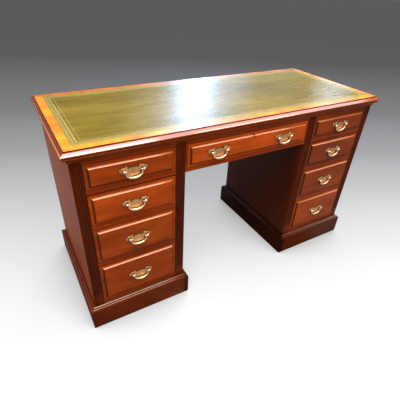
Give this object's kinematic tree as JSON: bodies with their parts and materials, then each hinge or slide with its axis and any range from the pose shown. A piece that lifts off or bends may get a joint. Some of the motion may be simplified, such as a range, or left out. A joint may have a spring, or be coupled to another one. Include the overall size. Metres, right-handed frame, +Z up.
{
  "type": "writing desk",
  "caption": "Pedestal writing desk in mahogany: leather-lined moulded top, sliding frieze and graduated pedestal drawers, reeded pilasters, beaded plinths, swinging brass bail handles.",
  "frame": {"origin": "on the floor, under the middle of the desk's overall box, handles included", "axes": "+X to the sitter's right along the top, -Y towards the sitter, +Z up"},
  "size_m": [1.386, 0.567, 0.775],
  "materials": {
    "mahogany": "French-polished reddish mahogany, glossy",
    "dark_mahogany": "darker French-polished mahogany, glossy",
    "crossband_veneer": "honey-coloured crossbanded veneer, glossy",
    "green_leather": "olive green hide with gilt tooled border",
    "brass": "polished, lightly toned brass",
    "oak_lining": "plain waxed oak",
    "carcass_wood": "plain unpolished secondary timber"
  },
  "bodies": {
    "desk": {"cornice_moulding": "mahogany", "crossbanding": "crossband_veneer", "frieze_carcass": "mahogany", "frieze_pilasters": "dark_mahogany", "frieze_rails": "mahogany", "frieze_runners": "carcass_wood", "leather_inset": "green_leather", "left_drawer_rails": "mahogany", "left_drawer_runners": "carcass_wood", "left_pedestal_boards": "mahogany", "left_pedestal_sides": "mahogany", "left_plinth": "mahogany", "locating_dowels": "oak_lining", "pedestal_pilasters": "dark_mahogany", "right_drawer_rails": "mahogany", "right_drawer_runners": "carcass_wood", "right_pedestal_boards": "mahogany", "right_pedestal_sides": "mahogany", "right_plinth": "mahogany", "top_board": "carcass_wood", "top_edge_moulding": "mahogany"},
    "frieze_centre_drawer": {"frieze_centre_drawer_box": "oak_lining", "frieze_centre_drawer_front": "mahogany", "frieze_centre_handles": "brass", "frieze_centre_lock_case": "brass"},
    "frieze_centre_bail_left": {"frieze_centre_bail_left": "brass"},
    "frieze_centre_bail_right": {"frieze_centre_bail_right": "brass"},
    "frieze_left_drawer": {"frieze_left_drawer_box": "oak_lining", "frieze_left_drawer_front": "mahogany", "frieze_left_handle": "brass"},
    "frieze_left_bail": {"frieze_left_bail": "brass"},
    "left_upper_drawer": {"left_upper_drawer_box": "oak_lining", "left_upper_drawer_front": "mahogany", "left_upper_handle": "brass"},
    "left_upper_bail": {"left_upper_bail": "brass"},
    "left_middle_drawer": {"left_middle_drawer_box": "oak_lining", "left_middle_drawer_front": "mahogany", "left_middle_handle": "brass"},
    "left_middle_bail": {"left_middle_bail": "brass"},
    "left_lower_drawer": {"left_lower_drawer_box": "oak_lining", "left_lower_drawer_front": "mahogany", "left_lower_handle": "brass"},
    "left_lower_bail": {"left_lower_bail": "brass"},
    "frieze_right_drawer": {"frieze_right_drawer_box": "oak_lining", "frieze_right_drawer_front": "mahogany", "frieze_right_handle": "brass"},
    "frieze_right_bail": {"frieze_right_bail": "brass"},
    "right_upper_drawer": {"right_upper_drawer_box": "oak_lining", "right_upper_drawer_front": "mahogany", "right_upper_handle": "brass"},
    "right_upper_bail": {"right_upper_bail": "brass"},
    "right_middle_drawer": {"right_middle_drawer_box": "oak_lining", "right_middle_drawer_front": "mahogany", "right_middle_handle": "brass"},
    "right_middle_bail": {"right_middle_bail": "brass"},
    "right_lower_drawer": {"right_lower_drawer_box": "oak_lining", "right_lower_drawer_front": "mahogany", "right_lower_handle": "brass"},
    "right_lower_bail": {"right_lower_bail": "brass"},
    "lock_bolt": {"frieze_centre_lock_bolt": "brass"}
  },
  "joints": [
    {"name": "frieze_centre_slide", "type": "slide", "parent": "desk", "child": "frieze_centre_drawer", "axis": [0, -1, 0], "range_m": [0, 0.36]},
    {"name": "frieze_centre_bail_left_swing", "type": "hinge", "parent": "frieze_centre_drawer", "child": "frieze_centre_bail_left", "pos_m": [-0.155, -0.27895, 0.67375], "axis": [-1, 0, 0], "range_deg": [0, 100]},
    {"name": "frieze_centre_bail_right_swing", "type": "hinge", "parent": "frieze_centre_drawer", "child": "frieze_centre_bail_right", "pos_m": [0.155, -0.27895, 0.67375], "axis": [-1, 0, 0], "range_deg": [0, 100]},
    {"name": "frieze_left_slide", "type": "slide", "parent": "desk", "child": "frieze_left_drawer", "axis": [0, -1, 0], "range_m": [0, 0.36]},
    {"name": "frieze_left_bail_swing", "type": "hinge", "parent": "frieze_left_drawer", "child": "frieze_left_bail", "pos_m": [-0.48125, -0.27895, 0.67375], "axis": [-1, 0, 0], "range_deg": [0, 100]},
    {"name": "left_upper_slide", "type": "slide", "parent": "desk", "child": "left_upper_drawer", "axis": [0, -1, 0], "range_m": [0, 0.36]},
    {"name": "left_upper_bail_swing", "type": "hinge", "parent": "left_upper_drawer", "child": "left_upper_bail", "pos_m": [-0.48125, -0.27895, 0.5485], "axis": [-1, 0, 0], "range_deg": [0, 100]},
    {"name": "left_middle_slide", "type": "slide", "parent": "desk", "child": "left_middle_drawer", "axis": [0, -1, 0], "range_m": [0, 0.36]},
    {"name": "left_middle_bail_swing", "type": "hinge", "parent": "left_middle_drawer", "child": "left_middle_bail", "pos_m": [-0.48125, -0.27895, 0.3945], "axis": [-1, 0, 0], "range_deg": [0, 100]},
    {"name": "left_lower_slide", "type": "slide", "parent": "desk", "child": "left_lower_drawer", "axis": [0, -1, 0], "range_m": [0, 0.36]},
    {"name": "left_lower_bail_swing", "type": "hinge", "parent": "left_lower_drawer", "child": "left_lower_bail", "pos_m": [-0.48125, -0.27895, 0.21175], "axis": [-1, 0, 0], "range_deg": [0, 100]},
    {"name": "frieze_right_slide", "type": "slide", "parent": "desk", "child": "frieze_right_drawer", "axis": [0, -1, 0], "range_m": [0, 0.36]},
    {"name": "frieze_right_bail_swing", "type": "hinge", "parent": "frieze_right_drawer", "child": "frieze_right_bail", "pos_m": [0.48125, -0.27895, 0.67375], "axis": [-1, 0, 0], "range_deg": [0, 100]},
    {"name": "right_upper_slide", "type": "slide", "parent": "desk", "child": "right_upper_drawer", "axis": [0, -1, 0], "range_m": [0, 0.36]},
    {"name": "right_upper_bail_swing", "type": "hinge", "parent": "right_upper_drawer", "child": "right_upper_bail", "pos_m": [0.48125, -0.27895, 0.5485], "axis": [-1, 0, 0], "range_deg": [0, 100]},
    {"name": "right_middle_slide", "type": "slide", "parent": "desk", "child": "right_middle_drawer", "axis": [0, -1, 0], "range_m": [0, 0.36]},
    {"name": "right_middle_bail_swing", "type": "hinge", "parent": "right_middle_drawer", "child": "right_middle_bail", "pos_m": [0.48125, -0.27895, 0.3945], "axis": [-1, 0, 0], "range_deg": [0, 100]},
    {"name": "right_lower_slide", "type": "slide", "parent": "desk", "child": "right_lower_drawer", "axis": [0, -1, 0], "range_m": [0, 0.36]},
    {"name": "right_lower_bail_swing", "type": "hinge", "parent": "right_lower_drawer", "child": "right_lower_bail", "pos_m": [0.48125, -0.27895, 0.21175], "axis": [-1, 0, 0], "range_deg": [0, 100]},
    {"name": "lock_bolt_throw", "type": "slide", "parent": "frieze_centre_drawer", "child": "lock_bolt", "axis": [0, 0, 1], "range_m": [0, 0.007]}
  ]
}
